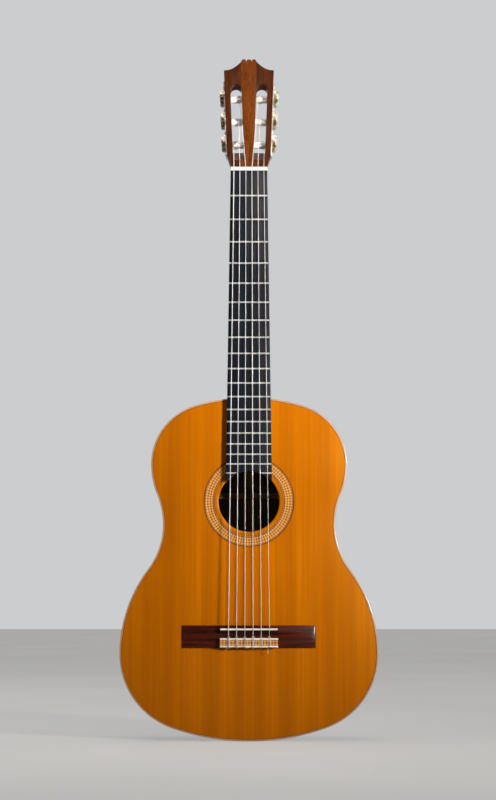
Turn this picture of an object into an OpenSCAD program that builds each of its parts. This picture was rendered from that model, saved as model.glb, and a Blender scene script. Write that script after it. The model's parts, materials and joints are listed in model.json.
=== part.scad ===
// Classical guitar with a flat fan-braced soundboard, an arched back, a neck with a
// Spanish heel and a slotted head that carries six worm-driven tuning machines.
// Frame: +Z runs up the neck, the soundboard faces -Y and +X is the treble side.
// The origin is the middle of the footprint, on the surface below the tail.

/* [Body] */
// Length of the body along its centre line
body_len = 480; // [470:1:490]
// Widest part of the lower bout
lower_bout_w = 361; // [352:1:368]
// Height of the lower bout's widest line above the tail
lower_bout_z = 121; // [117:1:125]
// Width at the waist
waist_w = 241.5; // [236:0.5:246]
// Height of the waist above the tail
waist_z = 300; // [296:1:304]
// Widest part of the upper bout
upper_bout_w = 275.6; // [270:0.2:280]
// Height of the upper bout's widest line above the tail
upper_bout_z = 386; // [382:1:390]
// Depth of the body at the tail, on the centre line
body_depth = 100; // [94:1:104]
// Depth that the body loses from the tail to the heel
depth_taper = 6; // [3:1:8]
// Radius of the back's arch across its width
back_r = 4050; // [3600:50:6000]
// Distance from the origin forward to the soundboard's face
face_offset = 43.5; // [40:0.5:47]

/* [Plates and edges] */
// Thickness of the soundboard
top_t = 2.5; // [2:0.1:3]
// Thickness of the back
back_t = 2.6; // [2:0.1:3]
// Thickness of the ribs and width of the bindings
rib_t = 2.2; // [2:0.1:2.6]
// Depth of the bindings
bind_h = 6; // [5:0.5:7]
// Diameter of the soundhole
hole_d = 85; // [82:1:88]
// Height of the soundhole's centre above the tail
hole_z = 333; // [331:1:335]
// Outer radius of the rosette
rosette_r = 64; // [60:1:66]
// Inner radius of the rosette
rosette_in = 48; // [46:1:50]

/* [Strings and fingerboard] */
// Sounding length of the strings
scale_len = 650; // [645:1:655]
// Number of frets
fret_count = 19; // [18:1:19]
// Width of the fingerboard at the nut
nut_w = 52.4; // [50:0.2:54]
// Width of the fingerboard at the twelfth fret
twelfth_w = 61.5; // [60:0.5:63]
// Thickness of the fingerboard
board_t = 6.5; // [6:0.1:7]
// Distance between the outer strings at the nut
nut_spread = 42.8; // [41:0.2:44]
// Distance between the outer strings at the saddle
saddle_spread = 57; // [56:0.5:59]
// Height of the saddle above the soundboard
saddle_h = 12; // [11.5:0.1:12.5]
// Height of the nut above the soundboard's plane
nut_h = 8.6; // [8.4:0.1:9]

/* [Head] */
// Angle of the head behind the neck
head_angle = 7; // [6:0.5:10]
// Thickness of the head under its veneer
head_t = 20; // [19:0.5:21]
// Thickness of the head veneer
veneer_t = 2.2; // [1.5:0.1:2.4]
// Angle of each side of the head to its centre line
side_angle = 2.17; // [1.8:0.01:2.4]
// Distance from the nut to the nearest string roller
first_roller = 37.3; // [36:0.1:39]
// Distance between neighbouring rollers
roller_pitch = 35; // [34.5:0.5:36]

/* [Bridge] */
// Length of the bridge across the soundboard
bridge_w = 186; // [180:1:190]
// Width of the raised middle of the bridge
block_w = 81; // [78:1:84]
// Thickness of the bridge's wings
wing_h = 4.6; // [4:0.2:5]
// Height of the tie block without its cap
tie_h = 8.6; // [8:0.2:9]

/* [Hidden] */
$fn = 48;

far = 400;                              // larger than any cut needs
face_y = -face_offset;                  // plane of the soundboard's face
taper_angle = atan(depth_taper / body_len);
lining_t = 6.5;
lining_h = 14;
lining_in = rib_t + lining_t;           // inset of the linings' inner face
brace_in = lining_in + 0.3;             // inset at which the bars end

// The outline's free radii; the four others follow from tangency
tail_corner_r = 109;
flank_r = 195;
upper_flank_r = 112;
shoulder_r = 86;
wl = lower_bout_w / 2;
ww = waist_w / 2;
wu = upper_bout_w / 2;
// Radius of the arc that starts on the centre line and closes on an arc of radius r
// whose centre is a to the side and z along
function closing_r(a, z, r) = (a * a + z * z - r * r) / (2 * (z - r));
// Radius of the hollow arc that touches an arc of radius r; e and d are the offsets
// from that arc's centre to the waist point
function hollow_r(e, d, r) = (e * e + d * d - r * r) / (2 * (r - e));
tail_r = closing_r(wl - tail_corner_r, lower_bout_z, tail_corner_r);
top_r = closing_r(wu - shoulder_r, body_len - upper_bout_z, shoulder_r);
waist_low_r = hollow_r(ww - wl + flank_r, waist_z - lower_bout_z, flank_r);
waist_up_r = hollow_r(ww - wu + upper_flank_r, upper_bout_z - waist_z, upper_flank_r);
tail_join = atan2(lower_bout_z - tail_r, wl - tail_corner_r);
flank_join = atan2(waist_z - lower_bout_z, ww + waist_low_r - wl + flank_r);
upper_join = atan2(waist_z - upper_bout_z, ww + waist_up_r - wu + upper_flank_r);
top_join = atan2(upper_bout_z - body_len + top_r, wu - shoulder_r);
// One row for each arc of the right half, tail to heel: centre x, centre z, radius,
// first angle, last angle, and 1 where the arc is hollow
ARCS = [
    [0, tail_r, tail_r, -90, tail_join, 0],
    [wl - tail_corner_r, lower_bout_z, tail_corner_r, tail_join, 0, 0],
    [wl - flank_r, lower_bout_z, flank_r, 0, flank_join, 0],
    [ww + waist_low_r, waist_z, waist_low_r, 180 + flank_join, 180, 1],
    [ww + waist_up_r, waist_z, waist_up_r, 180, 180 + upper_join, 1],
    [wu - upper_flank_r, upper_bout_z, upper_flank_r, upper_join, 0, 0],
    [wu - shoulder_r, upper_bout_z, shoulder_r, 0, top_join, 0],
    [0, body_len - top_r, top_r, top_join, 90, 0]
];
arc_step = 12;                          // length of outline between two points
function arc_points(a, inset) =
    let (n = ceil(abs(a[4] - a[3]) * PI / 180 * a[2] / arc_step),
         r = a[2] + (a[5] == 1 ? inset : -inset))
    [for (k = [1:n]) let (t = a[3] + (a[4] - a[3]) * k / n)
        [a[0] + r * cos(t), a[1] + r * sin(t)]];
function half_outline(inset) = [for (a = ARCS, p = arc_points(a, inset)) p];
function mirrored(points) =
    [for (k = [len(points) - 1:-1:0]) [-points[k][0], points[k][1]]];

neck_half = 28;                         // half the width of the block inside the body
neck_block_z = 430;                     // lower end of that block
slipper_z = 390;                        // lower end of its foot on the back
block_half = 35;                        // half the width of the tail block
tail_strip_half = 6;

twelfth_z = body_len + 0.5;             // the twelfth fret, just past the body's edge
compensation = 1;                       // length by which the saddle is set back
nut_z = twelfth_z + scale_len / 2;      // edge of the nut towards the body
saddle_z = nut_z - scale_len - compensation;
nut_t = 5;
saddle_t = 2.5;
board_front = face_y - board_t;
board_slope = (twelfth_w - nut_w) / scale_len;  // half width gained per length
board_end = 361;
function fret_z(n) = nut_z - scale_len * (1 - pow(2, -n / 12));
function board_half(z) = nut_w / 2 + (nut_z - z) * board_slope;
fret_h = 1;
fret_w = 2.2;
tang_t = 0.5;
tang_h = 1.8;

// String radii and their places; string 1 is the thin one on the treble side
STRING_R = [0.36, 0.41, 0.51, 0.38, 0.45, 0.55];
function nut_x(i) = nut_spread * (0.5 - (i - 1) / 5);
function saddle_x(i) = saddle_spread * (0.5 - (i - 1) / 5);

// Tuning machines: machine i takes string i. Rollers 1 to 3 are on the treble side
// and 4 to 6 on the bass side; 1 and 6 are nearest the nut.
function side_of(i) = i <= 3 ? 1 : -1;
function row_of(i) = i <= 3 ? i - 1 : 6 - i;
function roller_w(i) = first_roller + roller_pitch * row_of(i);
rail_t = 8.2;                           // wood outside a slot
slot_w = 16.1;
slot_low = 9;
slot_top = 127;
roller_y = (head_t - veneer_t) / 2;     // depth of the roller axes behind the wood's face
roller_r = 5;
roller_gap = 0.4;
axle_r = 3;
fit = 0.05;                             // radial clearance of a running fit
pin_l = 5;
roller_hole_r = 0.9;
plate_t = 1.4;
plate_low = 19;
plate_high = 133;
plate_half = 8;                         // half the plate's width
gear_t = 4.2;
gear_x = plate_t + 0.4 + gear_t / 2;    // middle of the gear outside the head's side
gear_teeth = 14;
gear_r = 5.5;                           // mean radius of the tooth wave
gear_wave = 0.5;                        // half the depth of a gear tooth
worm_mean_r = 2.55;
worm_wave = 0.55;                       // half the depth of the worm's thread
worm_gap = 0.35;                        // space between the two mean surfaces
worm_up = gear_r + worm_mean_r + worm_gap;
worm_pitch = 2 * PI * (gear_r + worm_gap / 2) / gear_teeth;
worm_len = 9;
shaft_r = 1.5;
lug_r = 3.8;
lug_near = 6.2;                         // from the gear's axis to a lug's inner face
lug_t = 3.6;
lug_cup_r = 2.2;                        // recess that shows the worm's end in the front lug
lug_cup = 1.5;
button_gap = 8;                         // from the back of the head to the button
button_l = 18;
button_w = 7.5;
button_h = 11;
screw_r = 1.3;
SCREWS = [24, 56, 91, 126];             // places of the plate screws along the side

// ---- helpers -------------------------------------------------------------------

// A flat shape in X and Z, made t thick from the plane y back
module slab(y, t) translate([0, y + t, 0]) rotate([90, 0, 0]) linear_extrude(t) children();
module outline(inset) {
    half = half_outline(inset);
    polygon(concat(half, mirrored([for (k = [0:len(half) - 2]) half[k]]), [[0, inset]]));
}
module rim(outer, inner) difference() { outline(outer); outline(inner); }
// Everything in front of the back's arch, moved inward by cut
module arch(cut) translate([0, face_y + body_depth, 0]) rotate([taper_angle, 0, 0])
    translate([0, -back_r, -60]) cylinder(r = back_r - cut, h = body_len + 120, $fn = 720);
// The layer between two depths below the back's outer surface
module back_layer(cut, t) intersection() {
    difference() { arch(cut); arch(cut + t); }
    slab(face_y + 50, far) children();
}
module block(x, y0, y1, z0, z1) translate([-x, y0, z0]) cube([2 * x, y1 - y0, z1 - z0]);
module in_head() translate([0, face_y, nut_z + nut_t]) rotate([-head_angle, 0, 0]) children();
// Frame on one side of the head: X points out of the side and Z runs along it
side_foot = nut_w / 2 + 4.3;
module in_side(s) in_head() mirror([s < 0 ? 1 : 0, 0, 0]) translate([side_foot, 0, 0])
    rotate([0, side_angle, 0]) children();
module along_x(x0, x1, r) translate([x0, 0, 0]) rotate([0, 90, 0]) cylinder(r = r, h = x1 - x0);
module along_y(y0, y1, r) translate([0, y1, 0]) rotate([90, 0, 0]) cylinder(r = r, h = y1 - y0);
// A round rod between two points
module rod(p, q, r) {
    v = q - p;
    translate(p) rotate([0, acos(v[2] / norm(v)), atan2(v[1], v[0])])
        cylinder(r = r, h = norm(v), $fn = 24);
}

// ---- soundboard and what is on it ------------------------------------------------

module rosette_zone(t) slab(face_y, t) translate([0, hole_z]) difference() {
    circle(r = rosette_r, $fn = 96);
    circle(r = rosette_in, $fn = 96);
}
module soundboard() color("darkorange") difference() {
    slab(face_y, top_t) difference() {
        outline(rib_t);
        translate([0, hole_z]) circle(d = hole_d, $fn = 96);
    }
    rosette_zone(1);
}
module rosette() color("saddlebrown") rosette_zone(1);

fan_low = 60;
fan_high = 246;
module fan_braces() color("burlywood") for (i = [-3:3]) {
    low = [i * 38, 0, fan_low + 5 * abs(i)];
    high = [i * 21, 0, fan_high];
    intersection() {
        translate([low[0], face_y + top_t, low[2]])
            rotate([0, atan2(high[0] - low[0], high[2] - low[2]), 0])
            translate([-2.5, 0, 0]) cube([5, 4, norm(high - low)]);
        slab(face_y, 20) outline(brace_in);
    }
}
BARS = [266, 398];                      // heights of the bars beside the soundhole
module harmonic_bars() color("burlywood") for (z = BARS) intersection() {
    block(far, face_y + top_t, face_y + top_t + 15, z - 3.5, z + 3.5);
    slab(face_y, 20) outline(brace_in);
}
module soundhole_patch() color("burlywood") slab(face_y + top_t, 2) translate([0, hole_z])
    difference() {
        circle(r = 58.5, $fn = 96);
        circle(d = hole_d, $fn = 96);
    }

// ---- back and sides --------------------------------------------------------------

module inlay_zone(h) intersection() {
    back_layer(0, h) outline(rib_t);
    block(2.5, 0, far, 0, body_len);
}
module back_plate() color("sienna") difference() {
    back_layer(0, back_t) outline(rib_t);
    inlay_zone(0.9);
}
module back_centre_inlay() color("tan") inlay_zone(0.9);

BACK_BARS = [95, 235, 345];
module back_bar_zone(z) intersection() {
    back_layer(back_t, 14) outline(brace_in);
    block(far, 0, far, z - 4, z + 4);
}
module back_braces() color("burlywood") for (z = BACK_BARS) back_bar_zone(z);
module back_seam_strip() color("burlywood") difference() {
    intersection() {
        back_layer(back_t, 2) outline(brace_in);
        block(8, 0, far, 22, slipper_z - 0.3);
    }
    for (z = BACK_BARS) block(far, 0, far, z - 4, z + 4);
}

module tail_zone(half, top) block(half, -far, far, -1, top);
module neck_zone() block(neck_half, -far, far, neck_block_z, body_len + 20);
module ribs() intersection() {
    slab(face_y + bind_h, far) rim(0, rib_t);
    arch(bind_h);
}
module rib(s) color("sienna") difference() {
    intersection() {
        ribs();
        mirror([s < 0 ? 1 : 0, 0, 0]) translate([0, -far, -1]) cube([far, 2 * far, 2 * far]);
    }
    tail_zone(tail_strip_half, 20);
    neck_zone();
}
module tail_strip() color("tan") intersection() {
    ribs();
    tail_zone(tail_strip_half, 20);
}
module top_binding() color("tan") slab(face_y, bind_h) rim(0, rib_t);
module back_binding() color("tan") back_layer(0, bind_h) rim(0, rib_t);
module without_blocks() difference() {
    children();
    tail_zone(block_half, 40);
    neck_zone();
}
module top_lining() color("burlywood") without_blocks()
    slab(face_y + top_t, lining_h) rim(rib_t, lining_in);
module back_lining() color("burlywood") without_blocks()
    back_layer(back_t, lining_h) rim(rib_t, lining_in);
module tail_block() color("burlywood") intersection() {
    slab(face_y + top_t, far) outline(rib_t);
    arch(back_t);
    tail_zone(block_half, 18);
}

// ---- neck ------------------------------------------------------------------------

neck_near = 15.5;                       // depth of the neck's wood at the nut
neck_deep = 17.5;                       // and at the heel
heel_back = face_y + body_depth - depth_taper;
heel_tip = body_len + 23;
heel_rise = 46;                         // length over which the heel sweeps into the neck
cap_t = 2.5;
cap_half = 14;
// Half-round section of the neck: half width, depth
function neck_section(half, depth) =
    [for (k = [0:20]) let (t = 9 * k) [half * cos(t), depth * pow(sin(t), 0.8)]];
module neck_slice(z, depth, h) translate([0, face_y, z]) linear_extrude(h)
    polygon(neck_section(board_half(z), depth));
module shaft() {
    hull() {
        neck_slice(body_len + 4, neck_deep, 1);
        neck_slice(nut_z - 16, neck_near, 1);
    }
    hull() {
        neck_slice(nut_z - 16, neck_near, 1);
        neck_slice(nut_z + nut_t - 1, head_t, 1);
    }
}
// Side view of the heel: square against the body, swept into the neck above
module heel_side() rotate([90, 0, 90]) linear_extrude(2 * far, center = true) polygon(concat(
    [[face_y, body_len - 10], [heel_back, body_len - 10]],
    [for (t = [0:10:90]) [
        heel_back - (heel_back - face_y - neck_deep + 2) * sin(t),
        heel_tip + heel_rise - heel_rise * cos(t)
    ]],
    [[face_y, heel_tip + heel_rise]]
));
// The heel seen along the neck: as wide as the fingerboard in front, narrow behind
module heel_plan() linear_extrude(2 * body_len) polygon([
    [-30.5, face_y], [30.5, face_y], [29, face_y + 14], [cap_half + 4, heel_back - 25],
    [cap_half, heel_back], [-cap_half, heel_back], [-cap_half - 4, heel_back - 25],
    [-29, face_y + 14]
]);
module cap_zone() slab(heel_back - cap_t, cap_t + 1) difference() {
    union() {
        translate([-cap_half, body_len - 10])
            square([2 * cap_half, heel_tip - body_len + 10 - cap_half]);
        translate([0, heel_tip - cap_half]) circle(r = cap_half);
    }
    outline(0);
}
module neck() color("chocolate") {
    difference() {
        union() {
            shaft();
            intersection() { heel_side(); heel_plan(); }
        }
        slab(face_y - 1, far) outline(0);
        block(far, heel_back - cap_t, far, 0, 2 * far);
    }
    difference() {
        intersection() {
            slab(face_y, far) outline(0);
            block(neck_half, -far, far, neck_block_z, body_len + 20);
            arch(back_t);
        }
        slab(face_y - 1, top_t + 1) outline(rib_t);
        slab(face_y - 1, bind_h + 1) rim(0, rib_t);
        back_layer(-5, bind_h + 5) rim(0, rib_t);
    }
    intersection() {
        back_layer(back_t, 14) outline(brace_in);
        block(22, 0, far, slipper_z, neck_block_z);
    }
}
module heel_cap() color("sienna") intersection() {
    cap_zone();
    block(far, -far, heel_back, 0, far * 2);
}

// End view of a fret: its tang in the board, and its crown in front of it
module fret_shape(crown) {
    translate([-tang_t / 2, 0]) square([tang_t, tang_h]);
    if (crown) intersection() {
        translate([0, 0.15]) circle(r = fret_h + 0.15, $fn = 24);
        translate([-fret_w / 2, -2 * fret_h]) square([fret_w, 2 * fret_h]);
    }
}
// The end view run across the board at fret n
module fret_bar(n, half, crown) translate([0, board_front, fret_z(n)])
    rotate([0, 90, 0]) linear_extrude(2 * half, center = true) fret_shape(crown);
module hole_cut(r) translate([0, face_y + 1, hole_z]) rotate([90, 0, 0])
    cylinder(r = r, h = 40, $fn = 96);
module fingerboard() color("#1b1c22") difference() {
    slab(board_front, board_t) polygon([
        [-board_half(nut_z), nut_z], [-board_half(board_end), board_end],
        [board_half(board_end), board_end], [board_half(nut_z), nut_z]
    ]);
    hole_cut(hole_d / 2);
    for (n = [1:fret_count]) fret_bar(n, 40, false);
}
module frets() color("silver") for (n = [1:fret_count]) difference() {
    fret_bar(n, board_half(fret_z(n)) - 0.3, true);
    if (fret_z(n) < hole_z + hole_d / 2 + fret_w) hole_cut(hole_d / 2 + 1);
}

// ---- strings, nut and bridge -----------------------------------------------------

bend_swell = 1.08;                      // a bend in a string against its radius
string_lift = 0.1;                      // air between a string and what it rests on
notch_gap = 0.3;                        // room beside a string in the nut
nut_notch = 0.6;                        // depth of a notch in the nut
roller_lift = 0.3;                      // air between a string's end and its roller
tie_low = saddle_z - 24.9;
tie_high = saddle_z - 12.1;
tie_hole_y = face_y - 5;
// Where string i crosses the saddle and the nut, leaves the tie block and meets its roller
function at_saddle(i) =
    [saddle_x(i), face_y - saddle_h - STRING_R[i - 1] - string_lift, saddle_z];
function at_nut(i) =
    [nut_x(i), face_y - nut_h - STRING_R[i - 1] + nut_notch, nut_z + nut_t / 2];
function at_tie(i) = [saddle_x(i), tie_hole_y, tie_high];
function from_head(p) = [
    p[0],
    face_y + p[1] * cos(head_angle) + p[2] * sin(head_angle),
    nut_z + nut_t - p[1] * sin(head_angle) + p[2] * cos(head_angle)
];
// Distance of each row's string from the centre line where it meets its roller
STRING_END = [21.8, 15, 13.2];
function at_roller(i) = from_head([
    side_of(i) * STRING_END[row_of(i)],
    roller_y - roller_r - STRING_R[i - 1] - roller_lift,
    roller_w(i) * cos(side_angle)
]);
module guitar_string(i) color(i < 4 ? "ivory" : "gainsboro") {
    r = STRING_R[i - 1];
    rod(at_saddle(i), at_nut(i), r);
    rod(at_nut(i), at_roller(i), r);
    rod(at_tie(i), at_saddle(i), r);
    rod(at_tie(i) - [0, 0, tie_high - tie_low], at_tie(i), r);
    for (p = [at_saddle(i), at_nut(i), at_tie(i)])
        translate(p) sphere(r = bend_swell * r, $fn = 24);
}

// A string's notch in the nut: level on the fingerboard's side, then falling to the head
module notch(i) {
    half = STRING_R[i - 1] + notch_gap;
    p = at_nut(i);
    q = at_roller(i);
    floor_y = p[1] + STRING_R[i - 1] + string_lift;
    fall = (q[1] - p[1]) / (q[2] - p[2]);
    translate([p[0] - half, 0, 0]) rotate([90, 0, 90]) linear_extrude(2 * half) polygon([
        [p[1] - nut_h, p[2] - nut_t], [floor_y, p[2] - nut_t], [floor_y, p[2]],
        [floor_y + fall * nut_t, p[2] + nut_t], [p[1] - nut_h, p[2] + nut_t]
    ]);
}
module nut() color("ivory") difference() {
    translate([-nut_w / 2, face_y - nut_h, nut_z]) cube([nut_w, nut_h, nut_t]);
    for (i = [1:6]) notch(i);
}

bridge_low = saddle_z - 25.5;
bridge_high = saddle_z + 5.5;
tie_hole_r = 0.9;
bridge_floor = 3.6;                     // wood left between the saddle and the tie block
saddle_block_h = 8.4;
saddle_block_half = 4;
wing_crown_r = 60;
wing_edge = 1.4;                        // thickness of the wings' outer ends
cap_h = 1.4;
module bridge_slab(half, h, z0, z1)
    translate([-half, face_y - h, z0]) cube([2 * half, h, z1 - z0]);
// A wing has a low crown over the width of the bridge, and its end is bevelled
module wing(s) mirror([s < 0 ? 1 : 0, 0, 0]) intersection() {
    translate([block_w / 2, face_y - wing_h, bridge_low])
        cube([(bridge_w - block_w) / 2, wing_h, bridge_high - bridge_low]);
    translate([0, face_y - wing_h + wing_crown_r, (bridge_low + bridge_high) / 2])
        along_x(0, far, wing_crown_r);
    translate([bridge_w / 2, face_y - wing_edge, 0]) rotate([0, 0, 25])
        translate([-far, 0, 0]) cube(far);
}
module saddle_room(h)
    bridge_slab(block_w / 2 - 0.5, h, saddle_z - saddle_t / 2, saddle_z + saddle_t / 2);
module bridge() color("#4a2018") difference() {
    union() {
        wing(1);
        wing(-1);
        bridge_slab(block_w / 2, bridge_floor, bridge_low, bridge_high);
        bridge_slab(block_w / 2, tie_h, tie_low, tie_high);
        bridge_slab(block_w / 2, saddle_block_h,
            saddle_z - saddle_block_half, saddle_z + saddle_block_half);
    }
    saddle_room(2 * saddle_h);
    for (i = [1:6]) translate([saddle_x(i), tie_hole_y, tie_low - 1])
        cylinder(r = tie_hole_r, h = tie_high - tie_low + 2, $fn = 24);
}
module tie_block_cap() color("wheat") translate([0, -tie_h, 0])
    bridge_slab(block_w / 2, cap_h, tie_low, tie_high);
saddle_crown = 1.6;
module saddle() color("ivory") intersection() {
    saddle_room(saddle_h);
    translate([0, face_y - saddle_h + saddle_crown, saddle_z]) union() {
        along_x(-far, far, saddle_crown);
        translate([-far, 0, -saddle_crown]) cube([2 * far, far, 2 * saddle_crown]);
    }
}

// ---- head ------------------------------------------------------------------------

head_corner = 149;                      // height of the head's shoulders over the nut
crest_foot = 162.5;
crest_hollow = 3.75;                    // depth of the hollow between crest and shoulder
crest_half = 11;
lobe_r = 3.55;
lobe_z = 162.6;
// Half width of the head at height v above the nut, once it is clear of the neck
function head_half(v) = side_foot + v * tan(side_angle);
blend_top = 26;
function blend(v) = (1 - cos(180 * v / blend_top)) / 2;
module head_outline(low) {
    right = concat(
        [[nut_w / 2, low]],
        [for (v = [0:3.25:blend_top]) [
            nut_w / 2 + (head_half(v) - nut_w / 2) * blend(v), v]],
        [for (k = [0:8]) let (u = k / 8) [
            head_half(head_corner) + (crest_half - head_half(head_corner)) * u,
            head_corner + (crest_foot - head_corner) * u - 4 * crest_hollow * u * (1 - u)
        ]]
    );
    polygon(concat(right, mirrored(right)));
    for (x = [-7.4, 0, 7.4]) {
        translate([x, lobe_z]) circle(r = lobe_r);
        translate([x - lobe_r, lobe_z - 8]) square([2 * lobe_r, 8]);
    }
}
module slots() for (s = [-1, 1]) mirror([s < 0 ? 1 : 0, 0, 0]) translate([side_foot, 0, 0])
    rotate([0, side_angle, 0]) translate([-rail_t - slot_w, 0, 0]) {
        slab(-5, head_t + 10) {
            translate([0, 30]) square([slot_w, slot_top - slot_w / 2 - 30]);
            translate([slot_w / 2, slot_top - slot_w / 2]) circle(r = slot_w / 2);
        }
        // the slot's lower end slants back so that the strings run in freely
        translate([slot_w, 0, 0]) mirror([1, 0, 0]) rotate([90, 0, 90]) linear_extrude(slot_w)
            polygon([[-3, slot_low], [head_t + 0.5, 30.5], [-3, 30.5]]);
        slab(head_t - 0.5, 2) translate([0, 28]) square([slot_w, 8]);
    }
module above_nut() intersection() {
    children();
    block(far, -far, far, nut_z + nut_t, 3 * far);
}
module headstock() color("chocolate") difference() {
    above_nut() in_head() slab(0, head_t) head_outline(-8);
    in_head() slots();
    for (i = [1:6]) in_side(side_of(i)) translate([0, roller_y, roller_w(i)])
        along_x(-rail_t - slot_w - pin_l - 0.6, 1, axle_r + fit);
    for (s = [-1, 1], w = SCREWS) in_side(s) translate([0, roller_y, w]) along_x(-7, 1, screw_r);
}
module head_veneer() color("#7a3418") difference() {
    above_nut() in_head() slab(-veneer_t, veneer_t) head_outline(-8);
    in_head() slots();
}

// ---- tuning machines -------------------------------------------------------------

function worm_w(i) = roller_w(i) + worm_up;
module machine_plate(s) color("gainsboro") in_side(s) difference() {
    union() {
        translate([0, roller_y - plate_half, plate_low])
            cube([plate_t, 2 * plate_half, plate_high - plate_low]);
        for (i = [1:3], back = [0, 1])
            translate([0, roller_y + (back == 1 ? lug_near : -lug_near - lug_t), worm_w(i)]) {
                translate([gear_x, 0, 0]) along_y(0, lug_t, lug_r);
                translate([0, 0, -lug_r + 1]) cube([gear_x, lug_t, 2 * lug_r - 2]);
            }
    }
    for (i = [1:3]) {
        // window that lets the worm sink into the plate
        translate([-1, roller_y - worm_len / 2 - 0.6, worm_w(i) - 3.6])
            cube([3, worm_len + 1.2, 7.2]);
        translate([0, roller_y, roller_w(i)]) along_x(-1, gear_x, axle_r + fit);
        translate([gear_x, roller_y, worm_w(i)]) {
            along_y(-lug_near - lug_t - 1, lug_near + lug_t + 1, shaft_r + fit);
            along_y(-lug_near - lug_t - 1, -lug_near - lug_t + lug_cup, lug_cup_r);
        }
    }
    for (w = SCREWS) translate([0, roller_y, w]) along_x(-1, 3, screw_r);
}
module plate_screws() color("silver") for (s = [-1, 1], w = SCREWS) in_side(s)
    translate([0, roller_y, w]) difference() {
        union() {
            along_x(-6.5, plate_t, screw_r);
            along_x(plate_t, plate_t + 1.2, 2.3);
        }
        translate([plate_t + 0.7, -3, -0.3]) cube([2, 6, 0.6]);
    }

module at_axle(i) in_side(side_of(i)) translate([0, roller_y, roller_w(i)]) children();
module roller(i) color("white") at_axle(i) difference() {
    union() {
        along_x(-rail_t - slot_w + roller_gap, -rail_t - roller_gap, roller_r);
        along_x(-rail_t - slot_w - pin_l, gear_x - gear_t / 2, axle_r);
    }
    // the cross hole that takes the string's end
    translate([-rail_t - slot_w / 2, 0, 0]) along_y(-2 * roller_r, 2 * roller_r, roller_hole_r);
}
// Gear outline: a wave of teeth with a tooth space at the top, where the worm is
function tooth_wave(t) = gear_r - gear_wave * cos(gear_teeth * t);
module gear(i) at_axle(i) {
    color("goldenrod") translate([gear_x - gear_t / 2, 0, 0]) rotate([90, 0, 90])
        linear_extrude(gear_t) polygon([for (k = [0:gear_teeth * 8 - 1])
            let (t = 90 + 360 * k / (gear_teeth * 8), r = tooth_wave(t - 90))
            [r * cos(t), r * sin(t)]]);
    color("silver") difference() {
        along_x(gear_x + gear_t / 2, gear_x + gear_t / 2 + 1.3, 2.4);
        translate([gear_x + gear_t / 2 + 0.8, -3, -0.35]) cube([2, 6, 0.7]);
    }
}
module at_worm(i) in_side(side_of(i)) translate([gear_x, roller_y, worm_w(i)]) children();
// A single thread: a round section, off centre, twisted along the worm. A crest faces
// the gear's tooth space at rest.
module worm(i) color("silver") at_worm(i) {
    translate([0, worm_len / 2, 0]) rotate([90, 0, 0])
        linear_extrude(worm_len, twist = -360 * worm_len / worm_pitch, slices = 36, $fn = 12)
        rotate(-90 - 180 * worm_len / worm_pitch) translate([worm_wave, 0])
        circle(r = worm_mean_r, $fn = 12);
    along_y(-lug_near - lug_t + 1, -worm_len / 2, shaft_r);
    along_y(worm_len / 2, head_t - roller_y + button_gap + button_l - 3, shaft_r);
}
module button(i) color("#efe3c8") at_worm(i) difference() {
    translate([0, head_t - roller_y + button_gap, 0]) {
        slab(2, button_l - 2) {
            for (z = [-1, 1]) translate([0, z * (button_h - button_w) / 2]) circle(d = button_w);
            square([button_w, button_h - button_w], center = true);
        }
        along_y(0, 2, 2.6);
    }
    along_y(0, head_t - roller_y + button_gap + button_l - 3, shaft_r);
}

// ---- assembly --------------------------------------------------------------------

soundboard();
rosette();
fan_braces();
harmonic_bars();
soundhole_patch();
back_plate();
back_centre_inlay();
back_braces();
back_seam_strip();
rib(-1);  // bass_rib
rib(1);  // treble_rib
top_binding();
back_binding();
top_lining();
back_lining();
tail_block();
tail_strip();
neck();
heel_cap();
headstock();
head_veneer();
fingerboard();
frets();
nut();
bridge();
tie_block_cap();
saddle();
machine_plate(-1);  // bass_machine_plate
machine_plate(1);  // treble_machine_plate
plate_screws();
for (i = [1:6]) {
    guitar_string(i);
    roller(i);
    gear(i);
    worm(i);
    button(i);
}
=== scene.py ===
"""A classical guitar: the smooth visible pieces and their materials, built around its frame.

Everything is in the frame's own axes: +Z up the neck, -Y out of the soundboard, +X treble.
Sizes below are in millimetres and turn into metres where a mesh is made.
"""
import json
import math

import bmesh
import bpy
from mathutils import Matrix, Vector


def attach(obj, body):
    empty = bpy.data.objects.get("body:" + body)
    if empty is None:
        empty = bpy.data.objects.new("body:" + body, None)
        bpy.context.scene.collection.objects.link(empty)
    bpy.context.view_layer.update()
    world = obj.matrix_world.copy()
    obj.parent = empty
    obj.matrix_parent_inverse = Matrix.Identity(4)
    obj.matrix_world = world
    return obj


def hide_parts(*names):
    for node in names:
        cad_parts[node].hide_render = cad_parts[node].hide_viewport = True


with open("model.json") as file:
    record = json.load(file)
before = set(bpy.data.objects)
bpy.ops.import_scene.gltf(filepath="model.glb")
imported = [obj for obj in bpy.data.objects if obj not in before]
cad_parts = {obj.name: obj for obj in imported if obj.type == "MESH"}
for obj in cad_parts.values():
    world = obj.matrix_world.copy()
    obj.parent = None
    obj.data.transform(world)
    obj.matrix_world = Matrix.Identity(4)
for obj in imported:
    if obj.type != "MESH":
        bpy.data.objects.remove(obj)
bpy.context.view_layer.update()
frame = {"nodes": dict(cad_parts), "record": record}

MM = 0.001
GUITAR = "guitar"

# ---- driving sizes, the same as the frame's -----------------------------------------

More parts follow.
